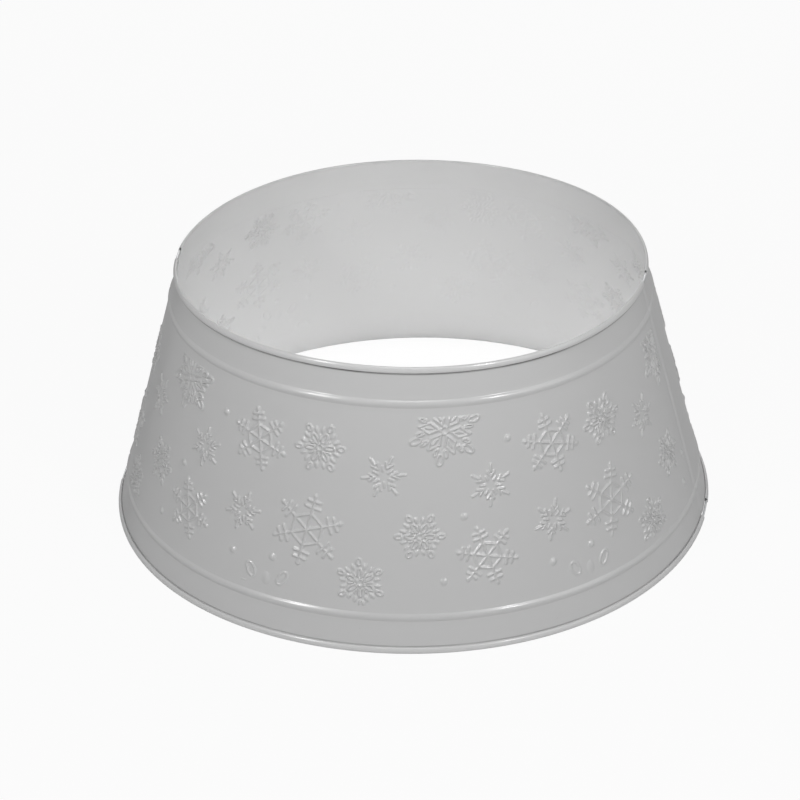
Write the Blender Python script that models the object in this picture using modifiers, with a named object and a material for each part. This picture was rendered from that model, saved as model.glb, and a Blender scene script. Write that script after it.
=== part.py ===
"""Tree collar of painted sheet steel, in two halves that push together round a tree stand.

Each half is one sheet bent to a truncated cone. Its top and bottom edges are rolled outward over a steel wire,
and a raised bead runs round it below the top roll and above the bottom roll.
The back half covers a little more than half the circle. At each end its wall runs on past its rolls, steps
inward by a joggle and tucks inside the front half. Its two wires bridge the notch that is left between the
rolls and plug into the open roll ends of the front half, so the halves push together and pull apart along Y.

Metres, +Z up. The origin is on the collar's axis at floor level, with the back half towards +Y.
Angles run round the axis from the middle of a half, in degrees.
"""

import math

import bmesh
import bpy
from mathutils import Matrix, Vector

# Collar, measured over the rolls
BASE_DIAMETER = 0.560
TOP_DIAMETER = 0.427
HEIGHT = 0.235

# Sheet, rolled edges and their wires
SHEET = 0.0005
ROLL_DIAMETER = 0.0056
ROLL_MOUTH = 0.0006
WIRE_DIAMETER = 0.0020
WIRE_CLEARANCE = 0.0003

# Beads pressed outward round the wall
BEAD_WIDTH = 0.0060
BEAD_HEIGHT = 0.0010
TOP_BEAD_DROP = 0.0304
BOTTOM_BEAD_RISE = 0.0299
BEAD_SEGMENTS = 4

# Seams between the halves
BACK_RIM_ANGLE = 186.0
NOTCH_ANGLE = 6.0
LAP_ANGLE = 12.0
JOGGLE_ANGLE = 2.0
LAP_CLEARANCE = 0.0006
FLANGE_MARGIN = 0.0020
PLUG_LENGTH = 0.0080
WIRE_END_GAP = 0.0030

# Facets of the round shapes
FACET_ANGLE = 4.5
ROLL_SEGMENTS = 10
FOOT_ANGLE = 30.0
FOOT_LEAD_SEGMENTS = 2
WIRE_BEVEL_RESOLUTION = 2
ANGLE_TOLERANCE = 0.01

MERGE_DISTANCE = 0.0001
SHARP_ANGLE = 40.0
PAINT_COLOUR = (0.62, 0.62, 0.62)
WIRE_COLOUR = (0.45, 0.46, 0.47)

# The middle line of the sheet round a roll
roll_radius = (ROLL_DIAMETER - SHEET) / 2
foot_drop = roll_radius * math.cos(math.radians(FOOT_ANGLE / 2))
base_roll = Vector(((BASE_DIAMETER - ROLL_DIAMETER) / 2, foot_drop + SHEET / 2))
top_roll = Vector(((TOP_DIAMETER - ROLL_DIAMETER) / 2, HEIGHT - ROLL_DIAMETER / 2))

# The wall is the common tangent of the two rolls, on the side of the axis
wall_lean = math.degrees(math.atan2(base_roll.x - top_roll.x, top_roll.y - base_roll.y))
tangent_angle = 180 + wall_lean
tangent_offset = roll_radius * Vector((math.cos(math.radians(tangent_angle)), math.sin(math.radians(tangent_angle))))
wall_foot = base_roll + tangent_offset
wall_head = top_roll + tangent_offset
wall_along = (wall_head - wall_foot).normalized()
wall_outward = -tangent_offset.normalized()

# A roll stops short of the wall by its mouth
roll_open_angle = math.degrees(math.acos(1 - (SHEET + ROLL_MOUTH) / roll_radius))

# The wires lie against the outer side of the rolls
roll_facet_angle = (360 - roll_open_angle) / ROLL_SEGMENTS
roll_bore = roll_radius * math.cos(math.radians(roll_facet_angle / 2)) - SHEET / 2
wire_shift = roll_bore - WIRE_DIAMETER / 2 - WIRE_CLEARANCE

# Ends of the rolls, the lap and the joggle
back_rim_end = BACK_RIM_ANGLE / 2
front_end = 180 - back_rim_end - NOTCH_ANGLE
seam_angle = back_rim_end + NOTCH_ANGLE
lap_inset = (SHEET + LAP_CLEARANCE) / math.cos(math.radians(wall_lean))
flange_foot = ROLL_DIAMETER + FLANGE_MARGIN
flange_head = HEIGHT - ROLL_DIAMETER - FLANGE_MARGIN


def clear_scene():
    for item in list(bpy.data.objects):
        bpy.data.objects.remove(item, do_unlink=True)


def make_collection(name):
    collection = bpy.data.collections.new(name)
    bpy.context.scene.collection.children.link(collection)
    return collection


def make_material(name, colour, roughness, metallic):
    material = bpy.data.materials.new(name)
    material.use_nodes = True
    shader = material.node_tree.nodes["Principled BSDF"]
    shader.inputs["Base Color"].default_value = (*colour, 1.0)
    shader.inputs["Roughness"].default_value = roughness
    shader.inputs["Metallic"].default_value = metallic
    material.diffuse_color = (*colour, 1.0)
    return material


def painted_steel(name):
    return make_material(name, PAINT_COLOUR, roughness=0.45, metallic=0.0)


def wire_steel(name):
    return make_material(name, WIRE_COLOUR, roughness=0.40, metallic=1.0)


def wall_point(height):
    """The point of the wall's middle line at this height."""
    share = (height - wall_foot.y) / (wall_head.y - wall_foot.y)
    return wall_foot.lerp(wall_head, share)


def arc(centre, start, end, segments):
    """Points round a roll's middle line, from one angle to another."""
    angles = [math.radians(start + (end - start) * i / segments) for i in range(segments + 1)]
    return [centre + roll_radius * Vector((math.cos(a), math.sin(a))) for a in angles]


def bead(height):
    """A raised bead across the wall, a cosine wave from edge to edge."""
    points = []
    for i in range(BEAD_SEGMENTS + 1):
        share = i / BEAD_SEGMENTS
        along = wall_along * BEAD_WIDTH * (share - 0.5)
        out = wall_outward * BEAD_HEIGHT * (1 - math.cos(math.tau * share)) / 2
        points.append(wall_point(height) + along + out)
    return points


def sheet_profile():
    """The middle line of the sheet as (radius, height), from the free edge of the bottom roll to that of the top one."""
    foot_start = 270 - FOOT_ANGLE / 2
    foot_end = 270 + FOOT_ANGLE / 2
    base_end = tangent_angle + 360 - roll_open_angle
    lead = arc(base_roll, tangent_angle, foot_start, FOOT_LEAD_SEGMENTS)
    rest = arc(base_roll, foot_end, base_end, ROLL_SEGMENTS - FOOT_LEAD_SEGMENTS - 1)
    base = list(reversed(lead + rest))
    top = arc(top_roll, tangent_angle, tangent_angle - 360 + roll_open_angle, ROLL_SEGMENTS)
    return [
        *base,
        wall_point(flange_foot),
        *bead(BOTTOM_BEAD_RISE),
        *bead(HEIGHT - TOP_BEAD_DROP),
        wall_point(flange_head),
        *top,
    ]


def column_angles(start, end):
    """The facet edges after one angle up to another: those of the collar's common division, then the end itself."""
    first = math.floor(start / FACET_ANGLE) + 1
    last = math.ceil(end / FACET_ANGLE)
    shared = [FACET_ANGLE * i for i in range(first, last)]
    return [a for a in shared if start + ANGLE_TOLERANCE < a < end - ANGLE_TOLERANCE] + [end]


def turn(mesh, geometry, start, end):
    """Turns the geometry round the axis, column by column, and gives back what its last column holds."""
    for angle in column_angles(start, end):
        made = bmesh.ops.spin(
            mesh,
            geom=geometry,
            cent=(0, 0, 0),
            axis=(0, 0, 1),
            angle=math.radians(start - angle),
            steps=1,
        )
        geometry = made["geom_last"]
        start = angle
    return geometry


def flange_part(geometry):
    """The vertices and edges of a column that lie on the wall between the flange's edges."""
    slack = SHEET / 2
    verts = [
        item
        for item in geometry
        if isinstance(item, bmesh.types.BMVert) and flange_foot - slack < item.co.z < flange_head + slack
    ]
    edges = [
        item
        for item in geometry
        if isinstance(item, bmesh.types.BMEdge) and all(vert in verts for vert in item.verts)
    ]
    return verts + edges


def move_inward(geometry, distance):
    for vert in (item for item in geometry if isinstance(item, bmesh.types.BMVert)):
        radius = vert.co.xy.length
        vert.co.xy *= (radius - distance) / radius


def add_flange(mesh, rim_column):
    """Runs the wall on past the end of the rolls, steps it inward and laps it past the seam."""
    joggle_start = seam_angle - JOGGLE_ANGLE
    column = turn(mesh, flange_part(rim_column), back_rim_end, joggle_start)
    column = turn(mesh, column, joggle_start, seam_angle)
    move_inward(column, lap_inset)
    turn(mesh, column, seam_angle, seam_angle + LAP_ANGLE)


def add_panel(name, half, end_angle, has_flanges, collection):
    """One half's sheet: its profile turned from the middle to one end, mirrored, and given the sheet's thickness."""
    mesh = bmesh.new()
    verts = [mesh.verts.new((0, point.x, point.y)) for point in sheet_profile()]
    edges = [mesh.edges.new(pair) for pair in zip(verts, verts[1:])]
    rim_column = turn(mesh, verts + edges, 0, end_angle)
    if has_flanges:
        add_flange(mesh, rim_column)
    bmesh.ops.recalc_face_normals(mesh, faces=mesh.faces)
    data = bpy.data.meshes.new(name)
    mesh.to_mesh(data)
    mesh.free()
    data.shade_smooth()
    data.set_sharp_from_angle(angle=math.radians(SHARP_ANGLE))
    data.materials.append(painted_steel(name + "_paint"))

    panel = bpy.data.objects.new(name, data)
    collection.objects.link(panel)
    panel.parent = half
    mirror = panel.modifiers.new("other end", "MIRROR")
    mirror.use_axis = (True, False, False)
    mirror.merge_threshold = MERGE_DISTANCE
    sheet = panel.modifiers.new("sheet thickness", "SOLIDIFY")
    sheet.thickness = SHEET
    sheet.offset = 0
    sheet.use_even_offset = True
    return panel


def add_wire(name, half, roll, angles, collection):
    """A wire round one half inside a roll, through points at these angles on both sides of the middle."""
    radius = roll.x + wire_shift
    both_sides = [-a for a in reversed(angles)] + [0] + angles
    curve = bpy.data.curves.new(name, "CURVE")
    curve.dimensions = "3D"
    curve.resolution_u = 1
    curve.bevel_depth = WIRE_DIAMETER / 2
    curve.bevel_resolution = WIRE_BEVEL_RESOLUTION
    curve.use_fill_caps = True
    spline = curve.splines.new("POLY")
    spline.points.add(len(both_sides) - 1)
    for point, angle in zip(spline.points, both_sides):
        turned = math.radians(angle)
        point.co = (radius * math.sin(turned), radius * math.cos(turned), roll.y, 1)
    curve.materials.append(wire_steel(name + "_steel"))
    wire = bpy.data.objects.new(name, curve)
    collection.objects.link(wire)
    wire.parent = half
    return wire


def back_wire_angles(roll):
    """From the middle through the roll, straight over the notch and on into the front half's roll."""
    plug_angle = math.degrees(PLUG_LENGTH / roll.x)
    return column_angles(0, back_rim_end) + [seam_angle, seam_angle + plug_angle]


def front_wire_angles(roll):
    """From the middle to just short of the plugged end of the back half's wire."""
    plug_angle = math.degrees((PLUG_LENGTH + WIRE_END_GAP) / roll.x)
    return column_angles(0, front_end - plug_angle)


def add_half(name, turned, collection):
    """The frame that a half's pieces hang from, with its middle towards its own +Y, the way it pulls off."""
    half = bpy.data.objects.new(name, None)
    half.empty_display_size = BASE_DIAMETER / 4
    half.matrix_world = Matrix.Rotation(math.radians(turned), 4, "Z")
    collection.objects.link(half)
    return half


def build():
    clear_scene()
    collar = make_collection("tree_collar")

    back = add_half("back_half", 0, collar)
    add_panel("back_panel", back, back_rim_end, True, collar)
    add_wire("back_top_wire", back, top_roll, back_wire_angles(top_roll), collar)
    add_wire("back_bottom_wire", back, base_roll, back_wire_angles(base_roll), collar)

    front = add_half("front_half", 180, collar)
    add_panel("front_panel", front, front_end, False, collar)
    add_wire("front_top_wire", front, top_roll, front_wire_angles(top_roll), collar)
    add_wire("front_bottom_wire", front, base_roll, front_wire_angles(base_roll), collar)


build()
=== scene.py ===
"""A tree collar of white painted sheet steel: two half rings with wired edges that push together.

Metres, +Z up, the collar's axis on Z and the floor at z = 0, as in the CAD model that this script dresses.
Places on a half ring are written as an angle round the axis from the half's middle, in degrees,
and a distance up the slope of its wall, in metres.
"""

import math

import bpy
import numpy as np
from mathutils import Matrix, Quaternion, Vector


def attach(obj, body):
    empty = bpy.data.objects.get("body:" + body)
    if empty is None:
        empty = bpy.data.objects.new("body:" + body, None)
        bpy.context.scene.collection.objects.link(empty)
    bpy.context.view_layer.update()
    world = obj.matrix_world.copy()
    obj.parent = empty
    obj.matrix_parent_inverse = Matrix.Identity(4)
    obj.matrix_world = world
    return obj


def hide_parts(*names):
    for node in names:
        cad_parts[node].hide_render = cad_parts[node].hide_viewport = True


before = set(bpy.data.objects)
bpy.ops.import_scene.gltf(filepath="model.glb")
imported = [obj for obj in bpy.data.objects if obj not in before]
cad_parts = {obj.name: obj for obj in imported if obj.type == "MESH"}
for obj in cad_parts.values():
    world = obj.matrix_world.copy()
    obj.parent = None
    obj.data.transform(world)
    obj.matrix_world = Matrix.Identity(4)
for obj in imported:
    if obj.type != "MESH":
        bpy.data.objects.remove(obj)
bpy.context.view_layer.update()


# The front half's sheet
# One strip of 0.5 mm sheet steel, pressed flat with snowflakes between two dies, then bent to half a cone.
# Two beads are rolled round it, and both long edges are folded outward over a wire. White satin paint.
BASE_DIAMETER = 0.560
TOP_DIAMETER = 0.427
HEIGHT = 0.235
SHEET = 0.0005
# The rolls are flattened ovals. A gap is how far off the wall a roll's free edge ends, and a rise is how far
# the roll's middle sits up the wall from the wall's own end. The bottom roll's middle is FOOT_DROP and half
# a sheet above the floor in the CAD model, where the rolls are round.
ROLL_HEIGHT = 0.0056
ROLL_DEPTH = 0.0030
ROLL_STEPS = 18
BASE_GAP = 0.00012
TOP_GAP = 0.00125
BASE_RISE = 0.00038
TOP_RISE = 0.0003
FOOT_DROP = 0.002463

ROLL_RADIUS = (ROLL_HEIGHT - SHEET) / 2
LEAN = math.atan2((BASE_DIAMETER - TOP_DIAMETER) / 2, HEIGHT - ROLL_HEIGHT / 2 - FOOT_DROP - SHEET / 2)
OUTWARD = np.array([math.cos(LEAN), math.sin(LEAN)])
UPWARD = np.array([-math.sin(LEAN), math.cos(LEAN)])
WALL_FOOT = np.array([(BASE_DIAMETER - ROLL_HEIGHT) / 2, FOOT_DROP + SHEET / 2]) - ROLL_RADIUS * OUTWARD
WALL_SLOPE = (HEIGHT - ROLL_HEIGHT / 2 - FOOT_DROP - SHEET / 2) / math.cos(LEAN)
ROLL_SIZE = np.array([ROLL_DEPTH - SHEET, ROLL_HEIGHT - SHEET]) / 2
BASE_ROLL = WALL_FOOT + ROLL_SIZE[0] * OUTWARD + BASE_RISE * UPWARD
TOP_ROLL = WALL_FOOT + ROLL_SIZE[0] * OUTWARD + (WALL_SLOPE + TOP_RISE) * UPWARD

# The beads' size, the strip of finer rows that each lies in, and their heights above the floor. The plain
# flange and the pressed field run between the two heights that follow.
BEAD_WIDTH = 0.0066
BEAD_HEIGHT = 0.0012
BEAD_FILLET = 0.00025
BEAD_ZONE = 0.0076
BEAD_STEPS = 16
BEAD_LEVELS = (0.0297, 0.2044)
FLANGE_LEVELS = (0.0032, 0.2308)
PRESSED_ZONE = (0.0337, 0.2008)

# The grid's blocks are BLOCK cells to a side, and PLAIN_ROWS lie between a bead and its roll. A slope is
# measured over SLOPE_STEP to each side, and TINY keeps sums clear of nought and of rounding.
BLOCK = 4
PLAIN_ROWS = 5
SLOPE_STEP = 0.0003
TINY = 1e-6


def slope(level):
    """The distance up the wall at a height above the floor."""
    return (level - WALL_FOOT[1]) / math.cos(LEAN)


def ridge(gap, half_width):
    """A rounded ridge, half a cosine wave to each side: 1 on its line and 0 from half_width on."""
    return 0.5 + 0.5 * np.cos(math.pi * np.clip(gap / half_width, 0, 1))


def stroke(x, y, start, end, half_width):
    """A ridge along the line from start to end, by each point's distance from the nearest place on it."""
    dx, dy = end[0] - start[0], end[1] - start[1]
    share = np.clip(((x - start[0]) * dx + (y - start[1]) * dy) / (dx * dx + dy * dy), 0, 1)
    return ridge(np.hypot(x - start[0] - share * dx, y - start[1] - share * dy), half_width)


def loop(x, y, middle, along, across, half_width):
    """A ridge round an ellipse: the distance from it is taken as k (k - 1) over the slope of k."""
    u, v = (x - middle[0]) / along, (y - middle[1]) / across
    k = np.hypot(u, v) + TINY
    return ridge(np.abs(k * (k - 1)) / (np.hypot(u / along, v / across) + TINY), half_width)


def lobe(x, y, middle, along, across):
    """A solid dome over an ellipse: 1 in its middle, falling with the distance squared to 0 at its edge."""
    return np.maximum(0, 1 - ((x - middle[0]) / along) ** 2 - ((y - middle[1]) / across) ** 2)


def at(radius, degrees):
    """The point at this distance and angle from a snowflake's middle."""
    return radius * math.cos(math.radians(degrees)), radius * math.sin(math.radians(degrees))


def around(x, y, degrees):
    """The coordinates turned so that x runs along the line at this angle."""
    c, s = math.cos(math.radians(degrees)), math.sin(math.radians(degrees))
    return x * c + y * s, y * c - x * s


def branched_flake(x, y, size, line):
    """Six straight arms with two pairs of crossbars each, joined by a hexagon of lines."""
    strokes = [
        stroke(x, y, (0, 0), (0.93 * size, 0), line),
        stroke(x, y, at(0.46 * size, 0), at(0.41 * size, 30), line),
        stroke(x, y, (0.64 * size, 0.04 * size), (0.65 * size, 0.21 * size), 1.15 * line),
        stroke(x, y, (0.82 * size, 0.04 * size), (0.83 * size, 0.17 * size), 1.15 * line),
        lobe(x, y, (0.97 * size, 0), 1.6 * line, 1.2 * line),
    ]
    return np.maximum.reduce(strokes)


def petal_flake(x, y, size, line):
    """A small ring with six long hollow petals, a hollow tip beyond each and a lobe to each side of it."""
    lobe_x, lobe_y = around(x, y, 19)
    strokes = [
        loop(x, y, (0, 0), 0.12 * size, 0.12 * size, 0.8 * line),
        loop(x, y, (0.38 * size, 0), 0.19 * size, 0.085 * size, 0.75 * line),
        loop(x, y, (0.84 * size, 0), 0.13 * size, 0.085 * size, 0.85 * line),
        lobe(lobe_x, lobe_y, (0.68 * size, 0), 0.16 * size, 0.085 * size),
        stroke(x, y, at(0.3 * size, 30), at(0.45 * size, 30), 0.8 * line),
    ]
    return np.maximum.reduce(strokes)


def dart_flake(x, y, size, line):
    """Six short rods round a blank middle, each with an open V before it and a dash between each two."""
    strokes = [
        stroke(x, y, (0.66 * size, 0), (0.96 * size, 0), 1.05 * line),
        stroke(x, y, (0.40 * size, 0), (0.64 * size, 0.15 * size), 0.9 * line),
        stroke(x, y, at(0.27 * size, 30), at(0.47 * size, 30), 0.9 * line),
    ]
    return np.maximum.reduce(strokes)


def kite_flake(x, y, size, line):
    """A ring, six kite-shaped petals between the arms, a hollow drop at each arm's end and lobes by it."""
    lobe_x, lobe_y = around(x, y, 12)
    strokes = [
        loop(x, y, (0, 0), 0.10 * size, 0.10 * size, 0.9 * line),
        stroke(x, y, at(0.15 * size, 30), at(0.43 * size, 10), 0.9 * line),
        stroke(x, y, at(0.43 * size, 10), at(0.70 * size, 30), 0.9 * line),
        stroke(x, y, at(0.32 * size, 30), at(0.50 * size, 30), 0.9 * line),
        loop(x, y, (0.84 * size, 0), 0.15 * size, 0.08 * size, 0.9 * line),
        loop(lobe_x, lobe_y, (0.66 * size, 0), 0.10 * size, 0.04 * size, 0.9 * line),
    ]
    return np.maximum.reduce(strokes)


def cut_flake(x, y, size, line):
    """A large shallow flake of which only the top is pressed: a hollow drop on each arm, domes between."""
    dome_x, dome_y = around(x, y, 30)
    drop = loop(x, y, (0.84 * size, 0), 0.18 * size, 0.10 * size, 0.9 * line)
    return 0.6 * np.maximum(drop, lobe(dome_x, dome_y, (0.63 * size, 0), 0.17 * size, 0.11 * size))


# The die's repeat: kind, angle from the half's middle, height, radius, and one arm's turn from the level.
# The radii and heights are in millimetres and the angles in degrees.
REPEAT_ANGLE = 62.85
FLAKES = [
    (kite_flake, 14.2, 183.2, 30.0, 19),
    (branched_flake, -25.8, 160.0, 25.7, 43),
    (petal_flake, -11.9, 163.9, 22.0, 4),
    (dart_flake, 1.6, 146.0, 18.5, 7),
    (dart_flake, 23.0, 135.6, 18.0, 26),
    (branched_flake, -13.3, 95.2, 31.0, 19),
    (branched_flake, 21.4, 78.0, 25.7, 47),
    (petal_flake, 8.7, 97.3, 21.0, 0),
    (petal_flake, -2.4, 57.2, 21.5, 35),
    (dart_flake, -27.6, 96.8, 17.8, 14),
    (cut_flake, -20.9, 25.5, 36.0, 59),
]
# The dots' angles and heights, and their radius. LINE is half a pressed line's width in millimetres, and the
# inner side's is INNER_LINE times that. The rows sag by ROW_SAG millimetres times the angle squared. RELIEF
# is how high all this is pressed, and it fades out over EDGE_FADE metres and END_FADE degrees at the field's
# edges. On the inner side it changes between the angles of INNER_BLEND. WAVINESS is how far the sheet
# buckles, and the buckles die away over WAVE_FADE degrees before a lap.
DOTS = [(27.3, 171.5), (17.3, 112.0), (13.0, 59.2), (-28.6, 61.5), (-19.9, 66.0)]
DOT_RADIUS = 3.4
ROW_SAG = 0.0012
LINE = 1.8
INNER_LINE = 1.1
RELIEF = 0.00135
EDGE_FADE = 0.0015
END_FADE = 0.6
INNER_BLEND = (25, 60)
WAVINESS = 0.00010
WAVE_FADE = 4
# A flake is worked out only near it: this many metres to the side and up the wall for each millimetre of its
# radius, and a margin more up the wall. The grid is fine where at least this share of the relief shows.
NEAR = (0.0013, 0.00115)
NEAR_MARGIN = 0.001
TOUCHED = 0.01


def flat_offset(angle, up, flake_angle, flake_up):
    """Places on the wall from a flake's middle, in millimetres, once the cone is unrolled about its apex."""
    reach = (WALL_FOOT[0] - up * math.sin(LEAN)) / math.sin(LEAN)
    flake_reach = (WALL_FOOT[0] - flake_up * math.sin(LEAN)) / math.sin(LEAN)
    turned = np.radians(angle - flake_angle) * math.sin(LEAN)
    return reach * np.sin(turned) * 1000, (flake_reach - reach * np.cos(turned)) * 1000


def pressed(angle, up, line, layout):
    """How far the dies push the sheet out, 0 to 1: a twelfth of each flake is folded round its middle."""
    out = np.zeros(np.broadcast(angle, up).shape)
    angle, up = np.broadcast_to(angle, out.shape), np.broadcast_to(up, out.shape)
    for repeat in range(-2, 3):
        for kind, flake_angle, level, size, turn in FLAKES + [(None, a, h, DOT_RADIUS, 0) for a, h in DOTS]:
            place = flake_angle + REPEAT_ANGLE * repeat
            place *= layout["spread"][place > 0]
            level_here = (level + layout["raise"] - ROW_SAG * place**2 * layout["sag"]) / 1000
            flake_up = slope(level_here)
            reach = np.degrees(size * NEAR[0] / (WALL_FOOT[0] - flake_up * math.sin(LEAN)))
            near = (np.abs(angle - place) < reach) & (np.abs(up - flake_up) < size * NEAR[1] + NEAR_MARGIN)
            if not near.any():
                continue
            x, y = flat_offset(angle[near], up[near], place, flake_up)
            if kind is None:
                shape = lobe(x, y, (0, 0), size, size)
            else:
                distance = np.hypot(x, y)
                folded = np.radians(np.abs((np.degrees(np.arctan2(y, x)) - turn + 30) % 60 - 30))
                shape = kind(distance * np.cos(folded), distance * np.sin(folded), size, line)
            out[near] = np.maximum(out[near], shape)
    low, high = (slope(level) for level in layout["zone"])
    fade = np.clip((up - low) / EDGE_FADE, 0, 1) * np.clip((high - up) / EDGE_FADE, 0, 1)
    ends = np.clip((layout["pressed_to"] - np.abs(angle)) / END_FADE, 0, 1)
    return out * fade * fade * (3 - 2 * fade) * ends


def bead(up):
    """The two beads' height across the wall: parabolas, each rounded where it meets the wall."""
    total = 0
    for level in BEAD_LEVELS:
        arch = BEAD_HEIGHT * (1 - ((up - slope(level)) / (BEAD_WIDTH / 2)) ** 2)
        tail = BEAD_FILLET**2 / (4 * np.abs(arch) + 8 * BEAD_FILLET)
        total = total + (arch + np.sqrt(arch**2 + BEAD_FILLET**2)) / 2 - tail
    return total


def wall_offset(angle, up, side, layout):
    """How far a side of the sheet stands out from the wall's own cone: relief, beads, joggle and waves."""
    lap = np.clip((np.abs(angle) - layout["joggle"][0]) / (layout["joggle"][1] - layout["joggle"][0]), 0, 1)
    free = np.clip((layout["lap_from"] - np.abs(angle)) / WAVE_FADE, 0, 1)
    waves = np.sin(np.radians(angle) * 7 + 1 + up * 9) + np.sin(np.radians(angle) * 11 + 4 - up * 14)
    level = np.sin(math.pi * np.clip(up / WALL_SLOPE, 0, 1))
    out = -layout["inset"] * lap * lap * (3 - 2 * lap) + WAVINESS * waves * free * level
    bead_share = 1 if side > 0 else 1 - (1 - layout["inner_bead"]) * free
    inner_relief = RELIEF * np.interp(np.abs(angle), INNER_BLEND, layout["inner_relief"])
    relief = RELIEF if side > 0 else inner_relief
    line = LINE if side > 0 else LINE * INNER_LINE
    return out + bead(up) * bead_share + relief * pressed(angle, up, line, layout)


def roll_rows(centre, angles):
    """Rows round an oval roll's middle line, with normals towards its wire. The wall is at 180 degrees."""
    a = np.radians(angles)[:, None]
    points = centre + ROLL_SIZE[0] * np.cos(a) * OUTWARD + ROLL_SIZE[1] * np.sin(a) * UPWARD
    towards = -(np.cos(a) / ROLL_SIZE[0] * OUTWARD + np.sin(a) / ROLL_SIZE[1] * UPWARD)
    return points, towards / np.linalg.norm(towards, axis=-1, keepdims=True)


def sheet_rows(cell):
    """The sheet's middle line, from the bottom roll's free edge to the top roll's.

    It is given as points, normals, distances up the slope (-1 on a roll) and the rows where blocks begin.
    """
    ends = [math.degrees(math.acos((SHEET + gap) / ROLL_SIZE[0] - 1)) for gap in (BASE_GAP, TOP_GAP)]
    base = roll_rows(BASE_ROLL, np.linspace(360 + ends[0], 180, ROLL_STEPS + 1))
    top = roll_rows(TOP_ROLL, np.linspace(180, -ends[1], ROLL_STEPS + 1))
    low, high = (slope(level) for level in PRESSED_ZONE)
    blocks = round((high - low) / (cell * BLOCK))
    bead_rows = [slope(level) + np.linspace(-0.5, 0.5, BEAD_STEPS + 1) * BEAD_ZONE for level in BEAD_LEVELS]
    foot, head = (slope(level) for level in FLANGE_LEVELS)
    wall = np.concatenate(
        [
            np.linspace(foot, bead_rows[0][0], PLAIN_ROWS + 1)[:-1],
            bead_rows[0],
            np.linspace(low, high, blocks * BLOCK + 1),
            bead_rows[1],
            np.linspace(bead_rows[1][-1], head, PLAIN_ROWS + 1)[1:],
        ]
    )
    points = np.concatenate([base[0], WALL_FOOT + wall[:, None] * UPWARD, top[0]])
    normals = np.concatenate([base[1], np.tile(OUTWARD, (len(wall), 1)), top[1]])
    first = ROLL_STEPS + 1 + PLAIN_ROWS + BEAD_STEPS + 1
    rolls = np.full(ROLL_STEPS + 1, -1.0)
    coarse = np.arange(len(points))
    inside = (coarse > first) & (coarse < first + blocks * BLOCK) & ((coarse - first) % BLOCK != 0)
    return points, normals, np.concatenate([rolls, wall, rolls]), coarse[~inside]


def block_faces(exists, fine, row_edges, step, columns):
    """The faces of one side as (vertex numbers, face lengths).

    Fine blocks are cut into small quads. A plain block is one face, with a vertex more where the small quads
    of a neighbour end on its side. Numbers run along each row of grid points, and the rows are stacked.
    """
    across, up = exists.shape
    left = np.arange(across)[:, None] * BLOCK
    low, high = row_edges[:-1][None, :], row_edges[1:][None, :]
    padded = np.zeros((across + 2, up + 2), bool)
    padded[1:-1, 1:-1] = fine
    beside = [padded[1:-1, :-2], padded[2:, 1:-1], padded[1:-1, 2:], padded[:-2, 1:-1]]
    rim, kept = [], []
    for side in range(4):
        for k in range(BLOCK):
            part = (high - low) * k // BLOCK
            column = [left + k, left + BLOCK, left + BLOCK - k, left][side]
            row = [low, low + part, high, high - part][side]
            rim.append(np.broadcast_to(row * columns + column, exists.shape))
            kept.append((beside[side] & (k % step == 0)) if k else np.ones(exists.shape, bool))
    rim, kept = np.stack(rim, -1), np.stack(kept, -1)
    plain = exists & ~fine
    numbers, lengths = [rim[plain][kept[plain]]], [kept[plain].sum(-1)]
    c, r = np.nonzero(fine)
    for k in range(0, BLOCK, step):
        for m in range(0, BLOCK, step):
            corner = (row_edges[r] + m) * columns + c * BLOCK + k
            above = corner + step * columns
            quads = np.stack([corner, corner + step, above + step, above], -1)
            numbers.append(quads.ravel())
            lengths.append(np.full(len(quads), 4))
    return np.concatenate(numbers), np.concatenate(lengths)


def next_numbers(numbers, lengths):
    """For each face corner, the vertex number of the next corner of its face."""
    ends = np.cumsum(lengths)
    following = np.append(numbers[1:], numbers[0])
    following[ends - 1] = numbers[ends - lengths]
    return following


# The collar is bent and folded by hand and stands a little out of round: waves of two, three and four to the
# turn, each with its cosine and sine at the top and at the foot, in millimetres. Their slope is measured
# over WAVE_STEP radians to each side.
WAVES = [
    (2, -0.28, 0.41, -0.72, 1.82),
    (3, -0.61, -0.52, -0.19, -1.26),
    (4, -0.74, 0.69, -0.40, 0.28),
]
WAVE_STEP = 0.01


def out_of_round(azimuth, level):
    """How far the wall stands out from its own cone, in metres: the waves, blended between top and foot."""
    share = level / HEIGHT
    total = 0
    for count, top_cos, top_sin, foot_cos, foot_sin in WAVES:
        c, s = np.cos(count * azimuth), np.sin(count * azimuth)
        total = total + (top_cos * c + top_sin * s) * share + (foot_cos * c + foot_sin * s) * (1 - share)
    return total / 1000


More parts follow.
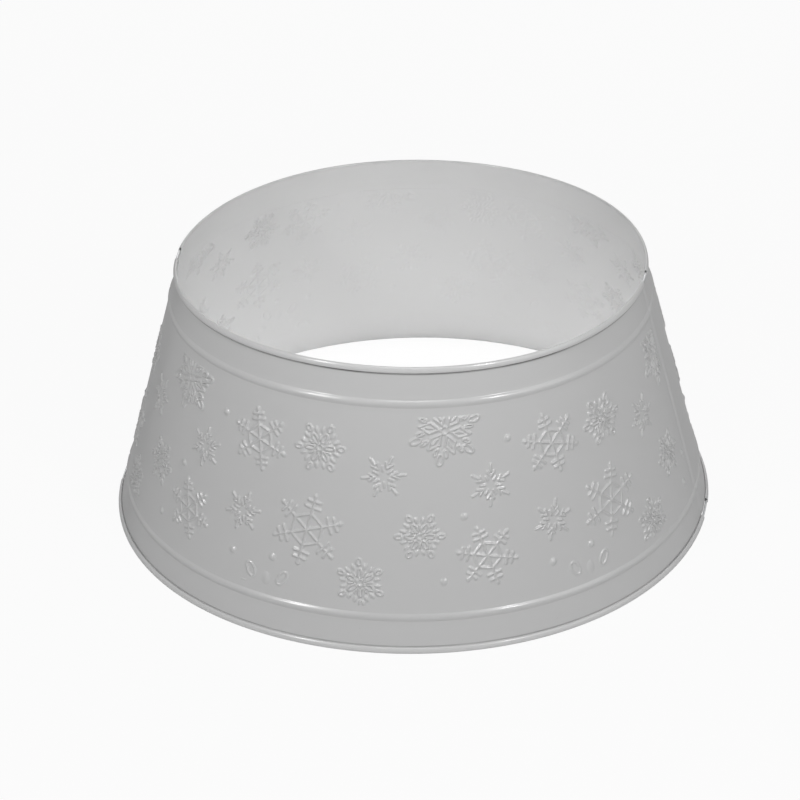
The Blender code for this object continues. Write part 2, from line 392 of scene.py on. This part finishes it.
def half_sheet(name, facing, edges, rim_end, layout, material):
    """One half's sheet as a closed mesh: an outer and an inner side on one grid, and strips along the edges.

    A grid point is the sheet's middle line turned to its angle round the axis. A side lies half the sheet's
    thickness and its own offset from there along the normal, and the normals follow the offset's slope.
    """
    points, normals, ups, row_edges = sheet_rows(layout["cell"])
    angles = np.interp(np.arange((len(edges) - 1) * BLOCK + 1), np.arange(len(edges)) * BLOCK, edges)
    columns = len(angles)
    on_wall = ups >= 0
    azimuth = np.radians(facing + angles)[None, :]
    radial = np.stack([np.cos(azimuth), np.sin(azimuth), 0 * azimuth], -1)
    level = np.array([0.0, 0.0, 1.0])
    tangent = np.stack([-np.sin(azimuth), np.cos(azimuth), 0 * azimuth], -1)
    away = points[:, :1] + out_of_round(azimuth, points[:, 1:])
    heights = points[:, 1:]
    bulge = out_of_round(azimuth + WAVE_STEP, heights) - out_of_round(azimuth - WAVE_STEP, heights)
    bulge /= 2 * WAVE_STEP * away
    middle = away[..., None] * radial + points[:, 1, None, None] * level
    normal = normals[:, 0, None, None] * radial + normals[:, 1, None, None] * level
    upward = UPWARD[0] * radial + UPWARD[1] * level

    wall_ups = np.where(on_wall, ups, 0)[:, None]
    touched = on_wall[:, None] & (pressed(angles[None, :], wall_ups, LINE, layout) > TOUCHED)
    spread = touched.copy()
    for axis in (0, 1):
        for shift in (-1, 1):
            spread |= np.roll(touched, shift, axis)
    fine = np.zeros((len(edges) - 1, len(row_edges) - 1), bool)
    for r in np.nonzero(np.diff(row_edges) == BLOCK)[0][1:-1]:
        rows = spread[row_edges[r] : row_edges[r] + BLOCK + 1]
        for k in range(BLOCK + 1):
            fine[:, r] |= rows[:, k : k + columns - BLOCK : BLOCK].any(0)[: len(edges) - 1]
    fine[[0, -1]] = False
    middles = (edges[:-1] + edges[1:]) / 2
    foot, head = (slope(limit) - TINY for limit in FLANGE_LEVELS)
    row_low, row_high = ups[row_edges[:-1]], ups[row_edges[1:]]
    flanged = (row_low >= foot) & (row_high >= foot) & (row_high <= head + 2 * TINY)
    exists = (np.abs(middles)[:, None] < rim_end) | flanged[None, :]
    fine &= exists

    places, directions, corners, counts = [], [], [], []
    for side, step in ((1, 1), (-1, layout["inner_step"])):
        across = np.degrees(SLOPE_STEP / points[:, 0])[:, None]
        offset = np.where(on_wall[:, None], wall_offset(angles[None, :], wall_ups, side, layout), 0)
        right = wall_offset(angles[None, :] + across, wall_ups, side, layout)
        left = wall_offset(angles[None, :] - across, wall_ups, side, layout)
        above = wall_offset(angles[None, :], wall_ups + SLOPE_STEP, side, layout)
        below = wall_offset(angles[None, :], wall_ups - SLOPE_STEP, side, layout)
        rise_across = (bulge + np.where(on_wall[:, None], (right - left) / (2 * SLOPE_STEP), 0))[..., None]
        rise_up = np.where(on_wall[:, None], (above - below) / (2 * SLOPE_STEP), 0)[..., None]
        tilted = normal - rise_across * tangent - rise_up * upward
        tilted /= np.linalg.norm(tilted, axis=-1, keepdims=True)
        place = middle + normal * (offset + side * SHEET / 2)[..., None]
        place[..., 2] = np.maximum(place[..., 2], 0)
        places.append(place.reshape(-1, 3))
        directions.append(side * tilted.reshape(-1, 3))
        numbers, lengths = block_faces(exists, fine, row_edges, step, columns)
        if side < 0:
            ends = np.cumsum(lengths)
            position = np.arange(len(numbers)) - np.repeat(ends - lengths, lengths)
            order = np.repeat(ends - 1, lengths) - position
            numbers = numbers[order]
        corners.append(numbers)
        counts.append(lengths)

    grid = len(points) * columns
    place, direction = np.concatenate(places), np.concatenate(directions)
    start, end = corners[0], next_numbers(corners[0], counts[0])
    free = ~np.isin(start * grid + end, end * grid + start)
    start, end = start[free], end[free]
    strip = np.stack([end, start, start + grid, end + grid], -1)
    strip_normal = np.cross(place[strip[:, 1]] - place[strip[:, 0]], place[strip[:, 2]] - place[strip[:, 1]])
    strip_normal /= np.linalg.norm(strip_normal, axis=-1, keepdims=True)

    numbers = np.concatenate([corners[0], corners[1] + grid, strip.ravel()])
    lengths = np.concatenate([counts[0], counts[1], np.full(len(strip), 4)])
    corner_normals = np.concatenate(
        [direction[corners[0]], direction[corners[1] + grid], np.repeat(strip_normal, 4, axis=0)]
    )
    used, numbers = np.unique(numbers, return_inverse=True)
    mesh = bpy.data.meshes.new(name)
    mesh.vertices.add(len(used))
    mesh.vertices.foreach_set("co", place[used].astype(np.float32).ravel())
    mesh.loops.add(len(numbers))
    mesh.loops.foreach_set("vertex_index", numbers.astype(np.int32))
    mesh.polygons.add(len(lengths))
    mesh.polygons.foreach_set("loop_start", (np.cumsum(lengths) - lengths).astype(np.int32))
    mesh.polygons.foreach_set("use_smooth", np.ones(len(lengths), bool))
    mesh.update(calc_edges=True)
    mesh.validate()
    mesh.normals_split_custom_set(corner_normals.astype(np.float32))
    inner = mesh.attributes.new("inner_side", "FLOAT", "POINT")
    inner.data.foreach_set("value", (used >= grid).astype(np.float32))
    mesh.materials.append(material)
    sheet = bpy.data.objects.new(name, mesh)
    bpy.context.scene.collection.objects.link(sheet)
    return sheet


def linear(hex_colour):
    """An sRGB hex colour as linear red, green, blue and a full alpha."""
    parts = [int(hex_colour[i : i + 2], 16) / 255 for i in (1, 3, 5)]
    return [p / 12.92 if p <= 0.04045 else ((p + 0.055) / 1.055) ** 2.4 for p in parts] + [1.0]


def add_node(tree, kind, settings=None, **links):
    """A node of this kind, with its settings by name and its inputs set or linked by name."""
    node = tree.nodes.new(kind)
    for key, value in (settings or {}).items():
        setattr(node, key, value)
    for key, value in links.items():
        name = key.replace("_", " ")
        socket = node.inputs[int(key[1:])] if key[0] == "i" and key[1:].isdigit() else node.inputs[name]
        if isinstance(value, bpy.types.NodeSocket):
            tree.links.new(value, socket)
        else:
            socket.default_value = value
    return node


# Painted shade: dark lines on the wall beside the rolls' free edges, where the rolls shade the crevice.
# For each: its height, half the line's width, and its strength.
CREVICE_SHADE_LINES = [(0.2287, 0.0014, 0.95), (0.0056, 0.0006, 0.5)]
# The range of Layer Weight's Facing, from nearly head-on to a low angle, over which the gloss fades, and how
# much duller the clouds make it.
HEAD_ON = 0.25
LOW_ANGLE = 0.75
CLOUD_DULLNESS = 0.08
# The pits' spacing in metres, their radius as a share of it, and how much they darken and dent the paint.
PIT_SPACING = 0.0070
PIT_RADIUS = 0.085
PIT_SHADE = 0.30
PIT_DENT = -1.5


def painted_steel(name, outside, inside):
    """White satin enamel, sprayed and baked on steel: IOR 1.5, roughness about 0.3, duller at a low angle.

    It gives the eye a soft broad sheen under a thin clear gloss, a fine orange peel 2 mm across, and clouds
    some 60 mm wide where it is a little duller. Small pits of 1 mm lie closest together near the bottom
    roll, where the paint ran. Beside each roll's free edge a dark line stands for the roll's shadow in the
    crevice: painted shade. The inner side is painted a lighter grey: painted light for the bright inside.
    """
    material = bpy.data.materials.new(name)
    material.use_nodes = True
    tree = material.node_tree
    shader = tree.nodes["Principled BSDF"]
    place = add_node(tree, "ShaderNodeTexCoord").outputs["Object"]
    clouds = add_node(tree, "ShaderNodeTexNoise", Vector=place, Scale=1 / 0.060, Detail=3.0, Roughness=0.6)
    grain = add_node(tree, "ShaderNodeTexNoise", Vector=place, Scale=1 / 0.0020, Detail=2.0, Roughness=0.5)
    pits = add_node(tree, "ShaderNodeTexVoronoi", Vector=place, Scale=1 / PIT_SPACING, Randomness=1.0)
    height = add_node(tree, "ShaderNodeSeparateXYZ", Vector=place).outputs["Z"]
    low = add_node(
        tree,
        "ShaderNodeMapRange",
        Value=height,
        From_Min=0.004,
        From_Max=0.10,
        To_Min=1.0,
        To_Max=0.25,
    ).outputs["Result"]
    pit_size = add_node(tree, "ShaderNodeMath", {"operation": "MULTIPLY"}, i0=low, i1=PIT_RADIUS)
    pit = add_node(
        tree,
        "ShaderNodeMapRange",
        {"interpolation_type": "SMOOTHSTEP"},
        Value=pits.outputs["Distance"],
        From_Min=0.0,
        From_Max=pit_size.outputs[0],
        To_Min=1.0,
        To_Max=0.0,
    )
    inner = add_node(tree, "ShaderNodeAttribute", {"attribute_name": "inner_side"}).outputs["Fac"]
    # The inner side takes the lighter colour: painted light, standing in for the brighter light inside the
    # ring.
    body = add_node(
        tree,
        "ShaderNodeMix",
        {"data_type": "RGBA"},
        Factor=inner,
        i6=linear(outside),
        i7=linear(inside),
    )
    pit_share = add_node(tree, "ShaderNodeMath", {"operation": "MULTIPLY"}, i0=pit.outputs[0], i1=PIT_SHADE)
    coat = add_node(
        tree,
        "ShaderNodeMix",
        {"data_type": "RGBA"},
        Factor=pit_share.outputs[0],
        i6=body.outputs[2],
        i7=linear("#6A6B6C"),
    )
    outer = add_node(tree, "ShaderNodeMath", {"operation": "SUBTRACT"}, i0=1.0, i1=inner)
    # The painted shade lines are made patchy by the clouds and kept to the outer side.
    shade_line_patches = add_node(
        tree,
        "ShaderNodeMapRange",
        Value=clouds.outputs["Fac"],
        From_Min=0.4,
        From_Max=0.6,
        To_Min=0.6,
    ).outputs[0]
    shade_line_share = add_node(tree, "ShaderNodeMath", {"operation": "MULTIPLY"}, i0=outer.outputs[0], i1=shade_line_patches)
    # Each line blends the paint towards near black across its width: painted shade beside a roll.
    for level, reach, shade_strength in CREVICE_SHADE_LINES:
        away = add_node(tree, "ShaderNodeMath", {"operation": "SUBTRACT"}, i0=height, i1=level)
        away = add_node(tree, "ShaderNodeMath", {"operation": "ABSOLUTE"}, i0=away.outputs[0])
        line = add_node(
            tree,
            "ShaderNodeMapRange",
            Value=away.outputs[0],
            From_Max=reach,
            To_Min=shade_strength,
            To_Max=0.0,
        )
        crevice_shade = add_node(
            tree,
            "ShaderNodeMath",
            {"operation": "MULTIPLY"},
            i0=line.outputs[0],
            i1=shade_line_share.outputs[0],
        )
        coat = add_node(
            tree,
            "ShaderNodeMix",
            {"data_type": "RGBA"},
            Factor=crevice_shade.outputs[0],
            i6=coat.outputs[2],
            i7=linear("#2B2B2A"),
        )
    facing = add_node(tree, "ShaderNodeLayerWeight", Blend=0.5).outputs["Facing"]
    dull = add_node(
        tree,
        "ShaderNodeMapRange",
        Value=facing,
        From_Min=HEAD_ON,
        From_Max=LOW_ANGLE,
        To_Min=0.29,
        To_Max=0.75,
    )
    lacquer = add_node(
        tree,
        "ShaderNodeMapRange",
        Value=facing,
        From_Min=HEAD_ON,
        From_Max=LOW_ANGLE,
        To_Min=0.8,
        To_Max=0.0,
    )
    gloss = add_node(
        tree,
        "ShaderNodeMath",
        {"operation": "MULTIPLY_ADD"},
        i0=clouds.outputs["Fac"],
        i1=CLOUD_DULLNESS,
        i2=dull.outputs["Result"],
    )
    sunk = add_node(tree, "ShaderNodeMath", {"operation": "MULTIPLY"}, i0=pit.outputs[0], i1=PIT_DENT)
    surface = add_node(tree, "ShaderNodeMath", {"operation": "ADD"}, i0=sunk.outputs[0], i1=grain.outputs[0])
    bump = add_node(tree, "ShaderNodeBump", Strength=0.25, Distance=0.00006, Height=surface.outputs[0])
    tree.links.new(coat.outputs[2], shader.inputs["Base Color"])
    tree.links.new(gloss.outputs[0], shader.inputs["Roughness"])
    tree.links.new(bump.outputs["Normal"], shader.inputs["Normal"])
    tree.links.new(lacquer.outputs["Result"], shader.inputs["Coat Weight"])
    shader.inputs["Coat Roughness"].default_value = 0.17
    shader.inputs["Coat IOR"].default_value = 1.5
    shader.inputs["IOR"].default_value = 1.5
    return material


# The angle at which the front's rolls end, and its blocks from end to end.
FRONT_END = 81.0
FRONT_BLOCKS = 162
# How a half is laid out. cell is a grid cell's height. spread scales the repeat's angles before and past the
# half's middle, raise lifts it by millimetres, and sag is the share of ROW_SAG that it keeps. It is pressed
# between the heights of zone and up to the angle pressed_to. Between the angles of joggle the wall steps in
# by inset. From lap_from on there are no buckles, and the inner side has the outer's beads. Elsewhere it has
# inner_bead of them, and inner_relief of the flakes in the middle and towards the ends. inner_step is how
# many cells a small face of the inner side spans.
front_layout = {
    "cell": 0.00105,
    "spread": (1.0, 1.0),
    "raise": 0.0,
    "sag": 1.0,
    "zone": (0.038, 0.194),
    "pressed_to": 79.5,
    "joggle": (200.0, 201.0),
    "inset": 0.0,
    "lap_from": 68.0,
    "inner_bead": 1.0,
    "inner_relief": (0.8, 0.8),
    "inner_step": 2,
}
# The inner side's lighter grey is painted light for the bright inside of the ring.
front_paint = painted_steel("front_satin_enamel_on_steel", "#CCCCCC", "#D6D6D6")
front_edges = np.linspace(-FRONT_END, FRONT_END, FRONT_BLOCKS + 1)
front_sheet = half_sheet("front_pressed_sheet", 270, front_edges, FRONT_END, front_layout, front_paint)
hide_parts("front_panel")
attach(front_sheet, "front_half")


# The back half's sheet
# The same pressed strip, a little longer. Past its rolls the wall runs on at both ends, steps inward by a
# joggle and tucks as a plain flange inside the front half. The photograph shows its inner side.
BACK_END = 93.0
BACK_BLOCKS = 133
JOGGLE = (97.0, 99.0)
FLANGE_END = 111.0
LAP_INSET = 0.0011

back_layout = {
    "cell": 0.0016,
    "spread": (0.87, 0.965),
    "raise": 15.0,
    "sag": 0.0,
    "zone": (0.038, 0.197),
    "pressed_to": 84.0,
    "joggle": JOGGLE,
    "inset": LAP_INSET,
    "lap_from": 92.0,
    "inner_bead": 0.15,
    "inner_relief": (0.3, 0.9),
    "inner_step": 1,
}
# The inner side's lighter grey is painted light for the bright inside of the ring.
back_paint = painted_steel("back_satin_enamel_on_steel", "#CCCCCC", "#D6D6D6")
flange_edges = np.concatenate(
    [
        np.linspace(BACK_END, JOGGLE[0], 5),
        np.linspace(*JOGGLE, 7)[1:],
        np.linspace(JOGGLE[1], FLANGE_END, 13)[1:],
    ]
)
rim_edges = np.linspace(-BACK_END, BACK_END, BACK_BLOCKS + 1)[1:-1]
back_edges = np.concatenate([-flange_edges[::-1], rim_edges, flange_edges])
back_sheet = half_sheet("back_pressed_sheet", 90, back_edges, BACK_END, back_layout, back_paint)
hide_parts("back_panel")
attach(back_sheet, "back_half")


# The four rim wires
# Mild steel wire of 2 mm, drawn and left bright, that stiffens the rolled edges. The back half's two bridge
# the gap at each seam and plug 8 mm into the front half's rolls. The front half's two stop short of them.
WIRE_DIAMETER = 0.0020
PLUG_LENGTH = 0.0080
WIRE_END_GAP = 0.0030
WIRE_SIDES = 16
# A wire's end is rounded over this share of its radius. The second ring lies at NOSE_STEP of that, and the
# first two have these shares of the wire's girth.
NOSE_LENGTH = 0.35
NOSE_STEP = 0.3
NOSE_GIRTHS = (0.6, 0.9)


def wire_tube(name, facing, roll, end_angle, material):
    """A round wire bent to an arc: circles square to the arc, carried along it and shrunk at each end."""
    radius, thick = roll[0], WIRE_DIAMETER / 2
    count = round(2 * end_angle)
    angles = np.linspace(-end_angle, end_angle, count)
    nose = np.degrees(thick * NOSE_LENGTH / radius)
    path = np.concatenate([[angles[0], angles[0]], angles, [angles[-1], angles[-1]]])
    path[1] += nose * NOSE_STEP
    path[2] += nose
    path[-3] -= nose
    path[-2] -= nose * NOSE_STEP
    girth = np.full(len(path), thick)
    girth[[0, -1]] = thick * NOSE_GIRTHS[0]
    girth[[1, -2]] = thick * NOSE_GIRTHS[1]
    round_it = np.linspace(0, 2 * math.pi, WIRE_SIDES, endpoint=False)
    azimuth = np.radians(facing + path)[:, None]
    distance = radius + out_of_round(azimuth, roll[1]) + girth[:, None] * np.cos(round_it)
    height = roll[1] + girth[:, None] * np.sin(round_it)
    rings = np.stack([distance * np.cos(azimuth), distance * np.sin(azimuth), height], -1)
    k = np.arange(len(path) - 1)[:, None] * WIRE_SIDES
    m = np.arange(WIRE_SIDES)[None, :]
    n = (m + 1) % WIRE_SIDES
    quads = np.stack([k + m, k + WIRE_SIDES + m, k + WIRE_SIDES + n, k + n], -1).reshape(-1, 4)
    last = (len(path) - 1) * WIRE_SIDES
    caps = [list(range(WIRE_SIDES)), [last + i for i in reversed(range(WIRE_SIDES))]]
    mesh = bpy.data.meshes.new(name)
    mesh.from_pydata(rings.reshape(-1, 3).tolist(), [], quads.tolist() + caps)
    mesh.polygons.foreach_set("use_smooth", np.ones(len(mesh.polygons), bool))
    mesh.update()
    mesh.materials.append(material)
    wire = bpy.data.objects.new(name, mesh)
    bpy.context.scene.collection.objects.link(wire)
    return wire


def drawn_steel(name):
    """Drawn mild steel wire: metal, roughness near 0.4, with fine lines from the die and dull grey spots."""
    material = bpy.data.materials.new(name)
    material.use_nodes = True
    tree = material.node_tree
    shader = tree.nodes["Principled BSDF"]
    place = add_node(tree, "ShaderNodeTexCoord").outputs["Object"]
    spots = add_node(tree, "ShaderNodeTexNoise", Vector=place, Scale=1 / 0.004, Detail=4.0)
    drawn = add_node(tree, "ShaderNodeMapping", Vector=place, Scale=(1, 1, 30)).outputs[0]
    lines = add_node(tree, "ShaderNodeTexNoise", Vector=drawn, Scale=1 / 0.01, Detail=2.0)
    body = add_node(
        tree,
        "ShaderNodeMix",
        {"data_type": "RGBA"},
        Factor=spots.outputs["Fac"],
        i6=linear("#B4B5B6"),
        i7=linear("#8E8F90"),
    )
    gloss = add_node(tree, "ShaderNodeMapRange", Value=spots.outputs["Fac"], To_Min=0.28, To_Max=0.5)
    bump = add_node(tree, "ShaderNodeBump", Strength=0.2, Distance=0.00002, Height=lines.outputs["Fac"])
    tree.links.new(body.outputs[2], shader.inputs["Base Color"])
    tree.links.new(gloss.outputs["Result"], shader.inputs["Roughness"])
    tree.links.new(bump.outputs["Normal"], shader.inputs["Normal"])
    shader.inputs["Metallic"].default_value = 1.0
    return material


wire_steel = drawn_steel("drawn_mild_steel_wire")
for level, roll in (("top", TOP_ROLL), ("bottom", BASE_ROLL)):
    plug = math.degrees(PLUG_LENGTH / roll[0])
    gap = math.degrees(WIRE_END_GAP / roll[0])
    for half, facing, end in (("back", 90, 180 - FRONT_END + plug), ("front", 270, FRONT_END - plug - gap)):
        wire = wire_tube(f"{half}_{level}_drawn_wire", facing, roll, end, wire_steel)
        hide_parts(f"{half}_{level}_wire")
        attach(wire, f"{half}_half")


# The floor
# A plain studio floor, just under the collar's foot. To the camera and to glossy rays WHITE_SHARE of it is
# pure white, and the rest still takes the shadow.
FLOOR_SIZE = 12.0
FLOOR_DROP = 0.0002
WHITE_SHARE = 0.94


def white_rays(tree):
    """1 for camera, glossy and transmission rays, and 0 for the rest, which carry light to the object."""
    rays = add_node(tree, "ShaderNodeLightPath").outputs
    seen = rays["Is Camera Ray"]
    for kind in ("Is Glossy Ray", "Is Transmission Ray"):
        seen = add_node(tree, "ShaderNodeMath", {"operation": "MAXIMUM"}, i0=seen, i1=rays[kind]).outputs[0]
    return seen


mesh = bpy.data.meshes.new("studio_floor")
side = FLOOR_SIZE / 2
corners = [(-side, -side, 0), (side, -side, 0), (side, side, 0), (-side, side, 0)]
mesh.from_pydata(corners, [], [(0, 1, 2, 3)])
floor = bpy.data.objects.new("studio_floor", mesh)
floor.location.z = -FLOOR_DROP
bpy.context.scene.collection.objects.link(floor)
paper = bpy.data.materials.new("white_paper")
paper.use_nodes = True
tree = paper.node_tree
share = add_node(tree, "ShaderNodeMath", {"operation": "MULTIPLY"}, i0=white_rays(tree), i1=WHITE_SHARE)
tree.nodes["Principled BSDF"].inputs["Base Color"].default_value = linear("#D4D4D4")
tree.nodes["Principled BSDF"].inputs["Roughness"].default_value = 0.9
white = add_node(tree, "ShaderNodeEmission", Strength=1.0)
both = add_node(
    tree,
    "ShaderNodeMixShader",
    Fac=share.outputs[0],
    i1=tree.nodes["Principled BSDF"].outputs[0],
    i2=white.outputs[0],
)
tree.links.new(both.outputs[0], tree.nodes["Material Output"].inputs["Surface"])
mesh.materials.append(paper)


# The light
# A dim white tent, two narrow panels at the front's corners that draw the lines on the beads, wide soft ones
# to the right and behind, and a spot straight above that lights the inside.
TENT_LIGHT = 0.128
world = bpy.data.worlds.new("white_tent")
bpy.context.scene.world = world
world.use_nodes = True
tree = world.node_tree
tent = add_node(tree, "ShaderNodeMapRange", Value=white_rays(tree), To_Min=TENT_LIGHT, To_Max=1.0)
tree.nodes["Background"].inputs["Color"].default_value = (1, 1, 1, 1)
tree.links.new(tent.outputs["Result"], tree.nodes["Background"].inputs["Strength"])


def soft_panel(name, place, aim, width, length, power):
    """A rectangular lamp at a place, facing a point."""
    lamp = bpy.data.lights.new(name, "AREA")
    lamp.shape = "RECTANGLE"
    lamp.size, lamp.size_y = width, length
    lamp.energy = power
    item = bpy.data.objects.new(name, lamp)
    item.location = place
    item.rotation_euler = (Vector(aim) - Vector(place)).to_track_quat("-Z", "Y").to_euler()
    bpy.context.scene.collection.objects.link(item)


soft_panel("left_key", (-1.057, -1.506, 1.296), (0, -0.2, 0.12), 0.22, 0.6, 11)
soft_panel("right_key", (1.251, -1.352, 1.296), (0, -0.2, 0.12), 0.22, 0.6, 9)
soft_panel("near_top_panel", (0.05, -0.5, 0.8), (0, -0.2, 0.12), 0.3, 0.2, 0.9)
soft_panel("right_panel", (2.0, -0.8, 1.2), (0, 0, 0.1), 1.2, 1.6, 5.6)
soft_panel("back_right_panel", (1.6, 1.6, 1.6), (0, 0, 0.1), 1.2, 1.2, 2.5)
soft_panel("wide_back_panel", (-0.3, 3.0, 1.0), (0, 0, 0.12), 2.6, 1.7, 27)
pool = bpy.data.objects.new("overhead_spot", bpy.data.lights.new("overhead_spot", "SPOT"))
pool.location = (0, 0, 0.75)
pool.data.energy = 21.5
pool.data.spot_size = math.radians(40.2)
pool.data.spot_blend = 0.05
pool.data.shadow_soft_size = 0.02
bpy.context.scene.collection.objects.link(pool)


# The camera
# It stands 1.9 m away, a little right of the front half's middle, and looks 30 degrees down.
CAMERA_PLACE = Vector((0.217227, -1.577854, 1.007252))
CAMERA_LOOK = Vector((-0.124812, 0.856051, -0.501597))
CAMERA_ROLL = -0.015494
camera = bpy.data.objects.new("camera", bpy.data.cameras.new("camera"))
camera.data.lens = 89.236
camera.data.sensor_width = 36.0
camera.location = CAMERA_PLACE
camera.rotation_mode = "QUATERNION"
camera.rotation_quaternion = CAMERA_LOOK.to_track_quat("-Z", "Y") @ Quaternion((0, 0, 1), CAMERA_ROLL)
bpy.context.scene.collection.objects.link(camera)
bpy.context.scene.camera = camera
bpy.context.scene.view_settings.view_transform = "Standard"
